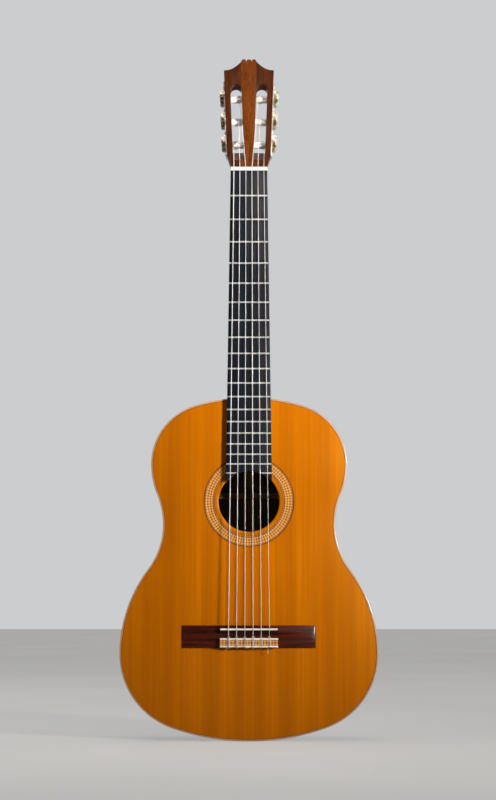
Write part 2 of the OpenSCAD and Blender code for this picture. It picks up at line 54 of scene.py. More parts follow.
BODY_LEN = 480.0
LOWER_HALF, LOWER_Z = 180.5, 121.0
WAIST_HALF, WAIST_Z = 120.75, 300.0
UPPER_HALF, UPPER_Z = 137.8, 386.0
TAIL_CORNER_R, FLANK_R, UPPER_FLANK_R, SHOULDER_R = 109.0, 195.0, 112.0, 86.0
DEPTH, DEPTH_TAPER, BACK_R = 100.0, 6.0, 4050.0
FACE = -43.5
RIB_T, BIND_H, TOP_T, BACK_T = 2.2, 6.0, 2.5, 2.6
HOLE_R, HOLE_Z = 42.5, 333.0
ROSETTE_R, ROSETTE_IN = 64.0, 48.0
SCALE_LEN = 650.0
SADDLE_Z = 154.5
NUT_Z, NUT_T, NUT_W, TWELFTH_W = 805.5, 5.0, 52.4, 61.5
NUT_H = 8.6
SADDLE_SPREAD = 57.0
STRING_R = [0.36, 0.41, 0.51, 0.38, 0.45, 0.55]
ROLLER_R, HEAD_T = 5.0, 20.0
STRIP_HALF = 11.0                  # half the width of the paler strip in the head veneer


# ---- small tools ---------------------------------------------------------------------

def make_object(name, verts, faces, materials, smooth=True, slots=None):
    """A mesh object from points in millimetres."""
    mesh = bpy.data.meshes.new(name)
    mesh.from_pydata([(x * MM, y * MM, z * MM) for x, y, z in verts], [], faces)
    for material in materials:
        mesh.materials.append(material)
    if slots:
        mesh.polygons.foreach_set("material_index", slots)
    mesh.polygons.foreach_set("use_smooth", [smooth] * len(faces))
    mesh.update()
    piece = bpy.data.objects.new(name, mesh)
    bpy.context.scene.collection.objects.link(piece)
    return piece


def sharpen(piece, degrees=35):
    """Keeps the edges sharper than the given angle hard and smooths the rest."""
    piece.data.set_sharp_from_angle(angle=math.radians(degrees))


def fit_piece(piece, body, slot, *nodes):
    """Says which body carries a piece and which nodes it stands for, and hides those nodes. The slot, a
    finish's name, is not used.
    """
    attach(piece, body)
    if nodes:
        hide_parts(*nodes)


def lerp(a, b, t):
    return a + (b - a) * t


def smoothstep(t):
    t = min(max(t, 0.0), 1.0)
    return t * t * (3 - 2 * t)


def ring_faces(rows, count):
    """Quads between rings of count points each, every ring joined to the next."""
    faces = []
    for a in range(0, (rows - 1) * count, count):
        for k in range(count):
            m = (k + 1) % count
            faces.append((a + k, a + m, a + count + m, a + count + k))
    return faces


def end_faces(rows, count):
    """The two faces that close the first and the last ring."""
    last = (rows - 1) * count
    return [tuple(range(count - 1, -1, -1)), tuple(range(last, last + count))]


# ---- outline of the body: tangent arcs, tail to heel -----------------------------------

def closing_radius(a, z, r):
    return (a * a + z * z - r * r) / (2 * (z - r))


def hollow_radius(e, d, r):
    return (e * e + d * d - r * r) / (2 * (r - e))


def body_arcs():
    """Centre x, centre z, radius, first and last angle, and whether the arc is hollow."""
    tail_r = closing_radius(LOWER_HALF - TAIL_CORNER_R, LOWER_Z, TAIL_CORNER_R)
    top_r = closing_radius(UPPER_HALF - SHOULDER_R, BODY_LEN - UPPER_Z, SHOULDER_R)
    flank_x = LOWER_HALF - FLANK_R
    upper_x = UPPER_HALF - UPPER_FLANK_R
    low_r = hollow_radius(WAIST_HALF - flank_x, WAIST_Z - LOWER_Z, FLANK_R)
    up_r = hollow_radius(WAIST_HALF - upper_x, UPPER_Z - WAIST_Z, UPPER_FLANK_R)
    tail_join = math.atan2(LOWER_Z - tail_r, LOWER_HALF - TAIL_CORNER_R)
    flank_join = math.atan2(WAIST_Z - LOWER_Z, WAIST_HALF + low_r - flank_x)
    upper_join = math.atan2(WAIST_Z - UPPER_Z, WAIST_HALF + up_r - upper_x)
    top_join = math.atan2(UPPER_Z - BODY_LEN + top_r, UPPER_HALF - SHOULDER_R)
    return [
        (0, tail_r, tail_r, -math.pi / 2, tail_join, False),
        (LOWER_HALF - TAIL_CORNER_R, LOWER_Z, TAIL_CORNER_R, tail_join, 0, False),
        (flank_x, LOWER_Z, FLANK_R, 0, flank_join, False),
        (WAIST_HALF + low_r, WAIST_Z, low_r, math.pi + flank_join, math.pi, True),
        (WAIST_HALF + up_r, WAIST_Z, up_r, math.pi, math.pi + upper_join, True),
        (upper_x, UPPER_Z, UPPER_FLANK_R, upper_join, 0, False),
        (UPPER_HALF - SHOULDER_R, UPPER_Z, SHOULDER_R, 0, top_join, False),
        (0, BODY_LEN - top_r, top_r, top_join, math.pi / 2, False),
    ]


STEP = 4.0                         # longest step along the outline


def half_stations():
    """Points of the right half with their inward normals and the length run so far."""
    stations = [(0.0, 0.0, 0.0, 1.0, 0.0)]
    run = 0.0
    for cx, cz, r, t0, t1, hollow in body_arcs():
        length = abs(t1 - t0) * r
        n = max(2, math.ceil(length / STEP))
        for k in range(1, n + 1):
            t = t0 + (t1 - t0) * k / n
            c, s = math.cos(t), math.sin(t)
            side = 1 if hollow else -1
            stations.append((cx + r * c, cz + r * s, side * c, side * s, run + length * k / n))
        run += length
    return stations


def mirrored(stations):
    return [(-x, z, -nx, nz, -run) for x, z, nx, nz, run in reversed(stations)]


HALF = half_stations()
LOOP = HALF + mirrored(HALF)[1:-1]


def inset_point(station, inset):
    x, z, nx, nz, _ = station
    return x + nx * inset, z + nz * inset


def back_y(x, z, cut=0.0):
    """Depth of the arched back, moved inward by cut."""
    centre = FACE + DEPTH - DEPTH_TAPER * z / BODY_LEN
    return centre - cut - x * x / (2 * BACK_R)


def band(name, stations, profile, material, closed=True):
    """A profile of (inset, depth) points run round the outline as a closed ring or a strip.

    A depth is a number or a function of x and z. U follows the outline and V the profile.
    """
    verts, faces, uvs = [], [], []
    count = len(profile)
    for station in stations:
        for inset, depth in profile:
            x, z = inset_point(station, inset)
            verts.append((x, depth(x, z) if callable(depth) else depth, z))
    rows = len(stations)
    girth = [0.0]
    for k in range(count):
        a, b = Vector(verts[k]), Vector(verts[(k + 1) % count])
        girth.append(girth[-1] + (b - a).length)
    for i in range(rows if closed else rows - 1):
        j = (i + 1) % rows
        u0, u1 = stations[i][4], stations[j][4]
        if abs(u1 - u0) > 2 * STEP:    # where the two halves meet, the length starts again
            u1 = u0 + STEP
        for k in range(count):
            m = (k + 1) % count
            faces.append((i * count + k, i * count + m, j * count + m, j * count + k))
            uvs += [(u0, girth[k]), (u0, girth[k + 1]), (u1, girth[k + 1]), (u1, girth[k])]
    if not closed:
        faces += end_faces(rows, count)
        uvs += [(0.0, 0.0)] * (2 * count)
    piece = make_object(name, verts, faces, [material])
    layer = piece.data.uv_layers.new(name="along")
    for loop, (u, v) in zip(layer.data, uvs):
        loop.uv = (u * MM, v * MM)
    recalc_normals(piece)
    sharpen(piece, 40)
    return piece


def recalc_normals(piece):
    bm = bmesh.new()
    bm.from_mesh(piece.data)
    bmesh.ops.recalc_face_normals(bm, faces=bm.faces)
    bm.to_mesh(piece.data)
    bm.free()


def plate(name, loops, material):
    """A flat plate. Each loop gives a ring of points for each of its steps, front to back;
    a step is an argument for the loop and a depth. The first loop is the outer one."""
    bm = bmesh.new()
    fronts, backs = [], []
    for points, steps in loops:
        rings = []
        for size, y in steps:
            rings.append([bm.verts.new((x * MM, y * MM, z * MM)) for x, z in points(size)])
        for a, b in zip(rings, rings[1:]):
            for k in range(len(a)):
                m = (k + 1) % len(a)
                bm.faces.new((a[k], a[m], b[m], b[k]))
        fronts.append(rings[0])
        backs.append(rings[-1])
    for group in (fronts, backs):
        edges = []
        for ring in group:
            for k in range(len(ring)):
                edges.append(bm.edges.get((ring[k], ring[(k + 1) % len(ring)])))
        bmesh.ops.triangle_fill(bm, edges=edges, use_beauty=True)
    bmesh.ops.recalc_face_normals(bm, faces=bm.faces)
    return finish_bmesh(bm, name, material, 30)


def finish_bmesh(bm, name, material, degrees):
    mesh = bpy.data.meshes.new(name)
    bm.to_mesh(mesh)
    bm.free()
    mesh.materials.append(material)
    mesh.polygons.foreach_set("use_smooth", [True] * len(mesh.polygons))
    piece = bpy.data.objects.new(name, mesh)
    bpy.context.scene.collection.objects.link(piece)
    sharpen(piece, degrees)
    return piece


def outline_at(inset):
    return [inset_point(s, inset) for s in LOOP]


def circle_at(radius):
    """A circle round the soundhole's centre."""
    count = 160
    turns = [2 * math.pi * k / count for k in range(count)]
    return [(radius * math.cos(t), HOLE_Z + radius * math.sin(t)) for t in turns]


def node_bmesh(node):
    """A copy of a node's mesh with its points welded, to be worked on."""
    bm = bmesh.new()
    bm.from_mesh(frame["nodes"][node].data)
    bmesh.ops.remove_doubles(bm, verts=bm.verts, dist=2e-6)
    return bm


def soften(node, name, width, material, slot, choose=None):
    """A copy of a node with its sharp edges rounded, which stands for the node."""
    bm = node_bmesh(node)
    bmesh.ops.dissolve_limit(bm, angle_limit=math.radians(0.6), verts=bm.verts, edges=bm.edges)
    sharp = []
    for edge in bm.edges:
        if len(edge.link_faces) == 2 and edge.calc_face_angle() > math.radians(32):
            middle = (edge.verts[0].co + edge.verts[1].co) / 2
            if choose is None or choose(middle):
                sharp.append(edge)
    bmesh.ops.bevel(bm, geom=sharp, offset=width * MM, segments=3, profile=0.5, affect="EDGES",
                    clamp_overlap=True)
    bodies = frame["record"]["behaviour"]["bodies"]
    body = next(b for b, members in bodies.items() if node in members)
    fit_piece(finish_bmesh(bm, name, material, 32), body, slot, node)


def spline(points):
    """A smooth curve through the points."""
    steps = 6
    pts = [Vector(p) for p in points]
    pts = [pts[0] * 2 - pts[1]] + pts + [pts[-1] * 2 - pts[-2]]
    out = []
    for a, b, c, d in zip(pts, pts[1:], pts[2:], pts[3:]):
        for k in range(steps):
            t = k / steps
            out.append(0.5 * ((2 * b) + (c - a) * t + (2 * a - 5 * b + 4 * c - d) * t * t
                              + (3 * b - a - 3 * c + d) * t ** 3))
    return out + [pts[-2]]


def tube(name, points, radius, material, sides=12):
    """A round tube along a list of points in millimetres, carried without twist."""
    pts = [Vector(p) for p in points]
    verts = []
    side = None
    for i, p in enumerate(pts):
        tangent = (pts[min(i + 1, len(pts) - 1)] - pts[max(i - 1, 0)]).normalized()
        if side is None:
            side = tangent.orthogonal().normalized()
        side = (side - tangent * side.dot(tangent)).normalized()
        up = tangent.cross(side)
        for k in range(sides):
            t = 2 * math.pi * k / sides
            verts.append(p + (side * math.cos(t) + up * math.sin(t)) * radius)
    faces = ring_faces(len(pts), sides) + end_faces(len(pts), sides)
    return make_object(name, verts, faces, [material])


# ---- materials --------------------------------------------------------------------------

class Maker:
    """A node material in the making. Its methods add nodes and return their outputs."""

    def __init__(self, name, coords="Object", **sockets):
        self.material = bpy.data.materials.new(name)
        self.material.use_nodes = True
        self.tree = self.material.node_tree
        self.shader = self.tree.nodes["Principled BSDF"]
        for socket, value in sockets.items():
            self.shader.inputs[socket.replace("_", " ")].default_value = value
        if coords == "UV":
            source = self.tree.nodes.new("ShaderNodeUVMap")
            source.uv_map = "along"
            self.coords = source.outputs["UV"]
        else:
            self.coords = self.tree.nodes.new("ShaderNodeTexCoord").outputs[coords]

    def link(self, output, socket):
        self.tree.links.new(output, self.shader.inputs[socket])

    def feed(self, node, key, value):
        """Links an output to a node's input, or sets the input to a plain value."""
        if hasattr(value, "is_output"):
            self.tree.links.new(value, node.inputs[key])
        else:
            node.inputs[key].default_value = value

    def math(self, kind, a, b=0.0):
        node = self.tree.nodes.new("ShaderNodeMath")
        node.operation = kind
        self.feed(node, 0, a)
        self.feed(node, 1, b)
        return node.outputs[0]

    def split(self):
        node = self.tree.nodes.new("ShaderNodeSeparateXYZ")
        self.tree.links.new(self.coords, node.inputs[0])
        return node.outputs

    def join(self, x, y, z):
        node = self.tree.nodes.new("ShaderNodeCombineXYZ")
        for k, value in enumerate((x, y, z)):
            self.feed(node, k, value)
        return node.outputs[0]

    def stretched(self, sx, sy, sz, offset=(0, 0, 0)):
        node = self.tree.nodes.new("ShaderNodeMapping")
        node.inputs["Scale"].default_value = (sx, sy, sz)
        node.inputs["Location"].default_value = offset
        self.tree.links.new(self.coords, node.inputs["Vector"])
        return node.outputs[0]

    def noise(self, vector, detail, distortion=0.0):
        node = self.tree.nodes.new("ShaderNodeTexNoise")
        self.feed(node, "Vector", vector)
        self.feed(node, "Scale", 1.0)
        self.feed(node, "Detail", detail)
        self.feed(node, "Distortion", distortion)
        return node.outputs["Fac"]

    def ramp(self, value, *stops):
        """Colours or greys at places from 0 to 1."""
        node = self.tree.nodes.new("ShaderNodeValToRGB")
        self.tree.links.new(value, node.inputs[0])
        elements = node.color_ramp.elements
        while len(elements) < len(stops):
            elements.new(0.5)
        for element, (place, colour) in zip(elements, stops):
            element.position = place
            grey = isinstance(colour, (int, float))
            element.color = (colour, colour, colour, 1) if grey else (*colour, 1)
        return node.outputs["Color"]

    def mix(self, factor, a, b, kind="MIX"):
        node = self.tree.nodes.new("ShaderNodeMix")
        node.data_type = "RGBA"
        node.blend_type = kind
        self.feed(node, 0, factor)
        for key, colour in ((6, a), (7, b)):
            self.feed(node, key, (*colour, 1) if isinstance(colour, tuple) else colour)
        return node.outputs[2]

    def bump(self, height, strength, distance=0.1 * MM):
        node = self.tree.nodes.new("ShaderNodeBump")
        node.inputs["Strength"].default_value = strength
        node.inputs["Distance"].default_value = distance
        self.tree.links.new(height, node.inputs["Height"])
        return node.outputs["Normal"]

    def range(self, value, low, high):
        """Turns a value from 0 to 1 into one from low to high."""
        return self.math("ADD", self.math("MULTIPLY", value, high - low), low)

    def finish(self, colour, roughness=None, normal=None):
        """Links what the nodes decide to the shader and returns the material."""
        self.link(colour, "Base Color")
        if roughness:
            self.link(roughness, "Roughness")
        if normal:
            self.link(normal, "Normal")
        return self.material


def cedar_top():
    """Straight-grained cedar under gloss lacquer, book-matched about the centre line."""
    m = Maker("cedar_top", Coat_Weight=0.12, Coat_Roughness=0.06, Specular_IOR_Level=0.3)
    m.shader.inputs["Specular Tint"].default_value = (1.0, 0.6, 0.1, 1)
    x, _, z = m.split()
    across = m.math("ABSOLUTE", x)

    def grain(side, wide, along, layer, detail):
        return m.noise(m.join(m.math("MULTIPLY", side, wide), layer, m.math("MULTIPLY", z, along)), detail)
    bands = grain(across, 48, 1.3, 4.0, 3)
    medium = grain(across, 260, 3.0, 3.0, 4)
    rings = grain(across, 1150, 5.0, 7.0, 2)
    fleck = grain(x, 420, 60.0, 11.0, 3)
    dark, middle, light = (0.50, 0.128, 0.0006), (0.62, 0.171, 0.0008), (0.72, 0.207, 0.001)
    base = m.ramp(bands, (0.3, dark), (0.5, middle), (0.72, light))
    base = m.mix(m.ramp(medium, (0.35, 0.34), (0.62, 0.0)), base, (0.44, 0.105, 0.0006))
    base = m.mix(m.ramp(rings, (0.40, 0.22), (0.60, 0.0)), base, (0.38, 0.085, 0.0005))
    base = m.mix(m.ramp(fleck, (0.60, 0.0), (0.78, 0.10)), base, (0.80, 0.26, 0.004))
    seam = m.math("LESS_THAN", across, 0.18 * MM)
    base = m.mix(m.math("MULTIPLY", seam, 0.5), base, (0.22, 0.06, 0.003))
    return m.finish(base, m.range(medium, 0.30, 0.48), m.bump(rings, 0.12, 0.2 * MM))


def rosewood(name, coords="Object", grain="Z", gloss=0.7, light=(0.115, 0.026, 0.009),
             dark=(0.020, 0.005, 0.003)):
    """Dark rosewood: wavy bands with black streaks and open pores along the grain."""
    m = Maker(name, coords, Coat_Weight=gloss, Coat_Roughness=0.08, Specular_IOR_Level=0.2)
    if coords == "UV":
        bands = m.stretched(5.0, 130.0, 1.0)
        streaks = m.stretched(9.0, 420.0, 1.0, (2, 5, 0))
        pores = m.stretched(160.0, 2600.0, 1.0)
    elif grain == "X":
        bands = m.stretched(9.0, 130.0, 130.0)
        streaks = m.stretched(16.0, 420.0, 420.0, (2, 5, 0))
        pores = m.stretched(150.0, 2200.0, 2200.0)
    else:
        bands = m.stretched(130.0, 130.0, 4.5)
        streaks = m.stretched(420.0, 420.0, 7.0, (2, 5, 0))
        pores = m.stretched(2200.0, 2200.0, 150.0)
    band_noise = m.noise(bands, detail=3, distortion=0.8)
    streak_noise = m.noise(streaks, detail=4, distortion=0.4)
    pore_noise = m.noise(pores, detail=1)
    mid = tuple(lerp(a, b, 0.45) for a, b in zip(light, dark))
    base = m.ramp(band_noise, (0.30, dark), (0.48, mid), (0.68, light))
    base = m.mix(m.ramp(streak_noise, (0.38, 0.85), (0.55, 0.0)), base, dark)
    base = m.mix(m.ramp(pore_noise, (0.30, 0.7), (0.40, 0.0)), base, (0.008, 0.003, 0.002))
    return m.finish(base, m.range(streak_noise, 0.26, 0.46), m.bump(pore_noise, 0.15))


def head_rosewood():
    """The head's veneer: a paler reddish strip up the middle, between two dark sides."""
    m = Maker("rosewood_head", Coat_Weight=0.04, Coat_Roughness=0.12, Specular_IOR_Level=0.08)
    x, _, _ = m.split()
    bands = m.noise(m.stretched(190, 190, 5), detail=3, distortion=0.15)
    lines = m.noise(m.stretched(900, 900, 9), detail=4)
    pores = m.noise(m.stretched(2400, 2400, 160), detail=1)
    side = m.ramp(bands, (0.34, (0.034, 0.009, 0.003)), (0.66, (0.090, 0.022, 0.005)))
    strip = m.ramp(bands, (0.32, (0.115, 0.027, 0.003)), (0.66, (0.200, 0.048, 0.004)))
    middle = m.math("LESS_THAN", m.math("ABSOLUTE", x), STRIP_HALF * MM)
    base = m.mix(middle, side, strip)
    base = m.mix(m.ramp(lines, (0.36, 0.7), (0.56, 0.0)), base, (0.050, 0.012, 0.003))
    base = m.mix(m.ramp(pores, (0.30, 0.6), (0.40, 0.0)), base, (0.012, 0.004, 0.002))
    return m.finish(base, m.range(lines, 0.34, 0.5), m.bump(pores, 0.15))


def neck_cedar():
    """Mahogany-like neck wood with short dark pores, under satin lacquer."""
    m = Maker("neck_cedar", Coat_Weight=0.45, Coat_Roughness=0.18)
    light, dark = (0.30, 0.098, 0.030), (0.14, 0.040, 0.013)
    figure = m.noise(m.stretched(70, 70, 4), detail=3, distortion=0.6)
    lines = m.noise(m.stretched(600, 600, 14), detail=3)
    pores = m.noise(m.stretched(2600, 2600, 190), detail=1)
    base = m.ramp(figure, (0.3, dark), (0.7, light))
    base = m.mix(m.ramp(lines, (0.40, 0.55), (0.58, 0.0)), base, dark)
    base = m.mix(m.ramp(pores, (0.30, 0.8), (0.42, 0.0)), base, (0.05, 0.015, 0.006))
    return m.finish(base, m.range(lines, 0.34, 0.5), m.bump(pores, 0.2))


def spruce():
    """Bare wood of the inner pieces."""
    m = Maker("spruce_inside", Roughness=0.65)
    lines = m.noise(m.stretched(700, 700, 20), detail=3)
    base = m.ramp(lines, (0.35, (0.26, 0.16, 0.075)), (0.65, (0.38, 0.25, 0.12)))
    return m.finish(base, normal=m.bump(lines, 0.2))


def ebony():
    """Oiled ebony: blue-black with faint grain and small pores."""
    m = Maker("ebony", Specular_IOR_Level=0.35)
    lines = m.noise(m.stretched(520, 300, 9), detail=4, distortion=0.3)
    pores = m.noise(m.stretched(2400, 900, 170), detail=1)
    dark, middle, light = (0.004, 0.006, 0.012), (0.009, 0.012, 0.021), (0.020, 0.022, 0.031)
    base = m.ramp(lines, (0.35, dark), (0.55, middle), (0.75, light))
    base = m.mix(m.ramp(pores, (0.32, 0.7), (0.42, 0.0)), base, (0.002, 0.002, 0.003))
    return m.finish(base, m.range(lines, 0.30, 0.46), m.bump(pores, 0.2))


def maple(name, light, dark, coords="Object"):
    """Plain pale or stained strip wood for bindings and lines."""
    m = Maker(name, coords, Coat_Weight=0.5, Coat_Roughness=0.1)
    vector = m.stretched(20, 900, 1) if coords == "UV" else m.stretched(500, 500, 30)
    lines = m.noise(vector, detail=3)
    return m.finish(m.ramp(lines, (0.3, dark), (0.7, light)), m.range(lines, 0.32, 0.45))


def bone():
    """Polished bone with faint clouds and specks."""
    m = Maker("bone", Coat_Weight=0.3, Coat_Roughness=0.15, Subsurface_Weight=0.08)
    m.shader.inputs["Subsurface Radius"].default_value = (0.002, 0.0014, 0.0008)
    cloud = m.noise(m.stretched(90, 90, 90), detail=4)
    speck = m.noise(m.stretched(1500, 1500, 700), detail=2)
    base = m.ramp(cloud, (0.35, (0.91, 0.87, 0.78)), (0.6, (0.97, 0.95, 0.89)))
    base = m.mix(m.ramp(speck, (0.62, 0.0), (0.75, 0.2)), base, (0.52, 0.42, 0.28))
    return m.finish(base, m.range(cloud, 0.22, 0.36), m.bump(speck, 0.1))


def metal(name, colour, tarnish, rough=(0.18, 0.42), metallic=1.0):
    """Plated metal with cloudy tarnish and fine handling marks."""
    m = Maker(name, Metallic=metallic)
    cloud = m.noise(m.stretched(240, 240, 240), detail=5)
    marks = m.noise(m.stretched(3000, 3000, 400), detail=2)
    base = m.ramp(cloud, (0.38, tarnish), (0.58, colour))
    return m.finish(base, m.range(cloud, rough[1], rough[0]), m.bump(marks, 0.08))


def white_plastic():
    """The slightly clouded white plastic of the string rollers."""
    m = Maker("roller_plastic", Coat_Weight=0.4, Coat_Roughness=0.1, Subsurface_Weight=0.05)
    m.shader.inputs["Subsurface Radius"].default_value = (0.001, 0.001, 0.001)
    cloud = m.noise(m.stretched(300, 300, 300), detail=3)
    base = m.ramp(cloud, (0.3, (0.80, 0.79, 0.74)), (0.7, (0.92, 0.92, 0.90)))
    return m.finish(base, m.range(cloud, 0.25, 0.4))


def pearl():
    """Cream pearl plastic with soft swirls."""
    m = Maker("button_pearl", Coat_Weight=0.8, Coat_Roughness=0.06, Subsurface_Weight=0.15)
    m.shader.inputs["Subsurface Radius"].default_value = (0.003, 0.002, 0.0012)
    swirl = m.noise(m.stretched(190, 190, 190), detail=4, distortion=2.2)
    flake = m.noise(m.stretched(700, 700, 700), detail=2, distortion=1.0)
    dark, middle, light = (0.66, 0.52, 0.33), (0.84, 0.76, 0.58), (0.93, 0.90, 0.80)
    base = m.ramp(swirl, (0.3, dark), (0.5, middle), (0.7, light))
    return m.finish(base, m.range(flake, 0.16, 0.36), m.bump(flake, 0.1))


def nylon():
    """Clear nylon that has turned a little milky."""
    m = Maker("nylon", Transmission_Weight=0.15, IOR=1.5, Coat_Weight=0.3, Coat_Roughness=0.1)
    cloud = m.noise(m.stretched(400, 400, 12), detail=2)
    base = m.ramp(cloud, (0.3, (0.86, 0.80, 0.70)), (0.7, (0.94, 0.90, 0.83)))
    return m.finish(base, m.range(cloud, 0.2, 0.32))


def wound():
    """Silvered winding: fine rings along the string as bump and shade."""
    m = Maker("wound_string", Coat_Weight=0.5, Coat_Roughness=0.2)
    _, _, z = m.split()
    wire = 0.45 * MM
    wave = m.math("SINE", m.math("MULTIPLY", z, 2 * math.pi / wire))
    cloud = m.noise(m.stretched(300, 300, 25), detail=3)
    base = m.ramp(cloud, (0.3, (0.92, 0.88, 0.84)), (0.7, (0.97, 0.95, 0.93)))
    shade = m.ramp(m.range(wave, 0.5, 1.0), (0.0, 0.85), (1.0, 1.0))
    base = m.mix(1.0, base, shade, "MULTIPLY")
    return m.finish(base, m.range(cloud, 0.28, 0.42), m.bump(wave, 0.5))


CEDAR = cedar_top()
ROSEWOOD_RIB = rosewood("rosewood_rib", "UV")
ROSEWOOD_BACK = rosewood("rosewood_back")
ROSEWOOD_HEAD = head_rosewood()
ROSEWOOD_BRIDGE = rosewood("rosewood_bridge", grain="X", gloss=0.2, light=(0.135, 0.016, 0.003),
                           dark=(0.020, 0.003, 0.002))
NECK_WOOD = neck_cedar()
SPRUCE = spruce()
EBONY = ebony()
BINDING = maple("binding_maple", (0.66, 0.36, 0.17), (0.50, 0.24, 0.095), "UV")
DARK_LINE = maple("dark_line", (0.30, 0.085, 0.010), (0.20, 0.050, 0.006), "UV")
TILE_CREAM = maple("tile_cream", (0.84, 0.52, 0.17), (0.70, 0.38, 0.10))
TILE_GOLD = maple("tile_gold", (0.72, 0.30, 0.055), (0.58, 0.21, 0.035))
TILE_BROWN = maple("tile_brown", (0.30, 0.082, 0.010), (0.18, 0.045, 0.006))
ROSETTE_LINE = maple("rosette_line", (0.26, 0.066, 0.008), (0.15, 0.034, 0.005))
PALE_STRIP = maple("pale_strip", (0.60, 0.36, 0.16), (0.46, 0.24, 0.10))
BONE = bone()
FRET_METAL = metal("fret_metal", (0.86, 0.86, 0.85), (0.62, 0.61, 0.58), metallic=0.5)
PLATE_METAL = metal("plate_metal", (0.92, 0.86, 0.76), (0.70, 0.60, 0.46), (0.25, 0.45), metallic=0.45)
GEAR_METAL = metal("gear_brass", (0.52, 0.40, 0.20), (0.16, 0.11, 0.06), (0.28, 0.5))
ROLLER_PLASTIC = white_plastic()
PEARL = pearl()
NYLON = nylon()
WOUND = wound()
WOUND_KNOT = metal("wound_knot", (0.90, 0.86, 0.82), (0.70, 0.63, 0.56), (0.28, 0.42))


def paint_node(node, material):
    """Gives a node of the frame its finished material."""
    mesh = frame["nodes"][node].data
    mesh.materials.clear()
    mesh.materials.append(material)


def paint_frame_nodes():
    """The nodes that are shown as the CAD made them."""
    for node in ("fan_braces", "harmonic_bars", "soundhole_patch", "back_braces", "back_seam_strip",
                 "top_lining", "back_lining", "tail_block"):
        paint_node(node, SPRUCE)
    paint_node("frets", FRET_METAL)
    paint_node("saddle", BONE)
    paint_node("plate_screws", PLATE_METAL)
    paint_node("tail_strip", PALE_STRIP)
    paint_node("back_centre_inlay", PALE_STRIP)
    for i in range(1, 7):
        paint_node(f"string_{i}", NYLON if i < 4 else WOUND)
        paint_node(f"roller_{i}", ROLLER_PLASTIC)
        paint_node(f"gear_{i}", GEAR_METAL)


# ---- body -----------------------------------------------------------------------------

PURFLING_W = 0.8
EDGE_ROUND = 0.7
CHANNEL = 1.0                      # depth of the rosette's channel
HOLE_ROUND, HOLE_DROP = 2.6, 1.9   # the soundhole's edge is rounded over


def build_top():
    """The soundboard with the rosette's channel and its rounded soundhole, and the dark line
    of purfling round it."""
    edge = RIB_T + PURFLING_W
    rear = FACE + TOP_T
    r = 0.35
    around = [(edge + r, FACE), (edge + 0.3 * r, FACE + 0.3 * r), (edge, FACE + r), (edge, rear)]
    floor = FACE + CHANNEL
    hole = [(ROSETTE_R, FACE), (ROSETTE_R, floor), (ROSETTE_IN, floor), (ROSETTE_IN, FACE)]
    steps = 8
    for k in range(steps + 1):
        t = math.pi / 2 * k / steps
        hole.append((HOLE_R + HOLE_ROUND * (1 - math.sin(t)), FACE + HOLE_DROP * (1 - math.cos(t))))
    hole.append((HOLE_R, rear))
    top = plate("soundboard_top", [(outline_at, around), (circle_at, hole)], CEDAR)
    fit_piece(top, GUITAR, "cedar_top", "soundboard")
    section = [(RIB_T, FACE), (edge, FACE), (edge, rear), (RIB_T, rear)]
    fit_piece(band("top_purfling", LOOP, section, DARK_LINE), GUITAR, "rosewood_body")


MOSAIC_WOODS = [TILE_CREAM, TILE_GOLD, TILE_BROWN, ROSETTE_LINE]
CREAM, GOLD, BROWN, LINE = range(4)
MOSAIC_ROWS, MOSAIC_IN, MOSAIC_OUT = 12, 50.6, 61.4
MOSAIC_COLUMNS = 384
INNER_LINES, OUTER_LINES = [ROSETTE_IN, 49.0, 49.6], [62.0, ROSETTE_R]


def mosaic_slot(row, column):
    """Small diamonds four tiles wide: cream in the middle, gold around, brown at the corners."""
    away = abs(row % 4 - 1.5) + abs(column % 4 - 1.5)
    if away < 1.5:
        return CREAM
    return GOLD if away < 2.5 else BROWN


def build_rosette():
    """Rings of line and mosaic let into the soundboard, as one closed inlay."""
    step = (MOSAIC_OUT - MOSAIC_IN) / MOSAIC_ROWS
    tiles = [MOSAIC_IN + k * step for k in range(MOSAIC_ROWS + 1)]
    radii = INNER_LINES + tiles + OUTER_LINES
    first = len(INNER_LINES)
    last = first + MOSAIC_ROWS
    ring_slot = {0: LINE, 1: GOLD, 2: LINE, last: GOLD, last + 1: LINE}
    verts, slots = [], []
    for y in (FACE, FACE + CHANNEL):
        for r in radii:
            for k in range(MOSAIC_COLUMNS):
                t = 2 * math.pi * k / MOSAIC_COLUMNS
                verts.append((r * math.cos(t), y, HOLE_Z + r * math.sin(t)))
    rows = len(radii)
    under = rows * MOSAIC_COLUMNS
    faces = ring_faces(rows, MOSAIC_COLUMNS)
    for row in range(rows - 1):
        for k in range(MOSAIC_COLUMNS):
            slots.append(ring_slot[row] if row in ring_slot else mosaic_slot(row - first, k))
    b = under - MOSAIC_COLUMNS
    for k in range(MOSAIC_COLUMNS):
        m = (k + 1) % MOSAIC_COLUMNS
        faces += [(k, under + k, under + m, m), (b + k, b + m, under + b + m, under + b + k),
                  (under + k, under + b + k, under + b + m, under + m)]
        slots += [LINE] * 3
    piece = make_object("rosette_inlay", verts, faces, MOSAIC_WOODS, smooth=False, slots=slots)
    recalc_normals(piece)
    fit_piece(piece, GUITAR, "rosette_inlay", "rosette")


TIE_LOW, TIE_HIGH = SADDLE_Z - 24.9, SADDLE_Z - 12.1
CAP_REAR, CAP_FRONT = FACE - 8.6, FACE - 10.0
BLOCK_HALF = 40.5
CAP_STRIP_W = 2.4


def cap_strip(name, low):
    """One bone strip of the tie block's cap, with rounded edges."""
    def ring(cut):
        half, z0, z1 = BLOCK_HALF - cut, low + cut, low + CAP_STRIP_W - cut
        return [(-half, z0), (half, z0), (half, z1), (-half, z1)]
    steps = [(0.35, CAP_FRONT), (0.1, CAP_FRONT + 0.1), (0.0, CAP_FRONT + 0.35), (0.0, CAP_REAR)]
    fit_piece(plate(name, [(ring, steps)], BONE), GUITAR, "bone", "tie_block_cap")


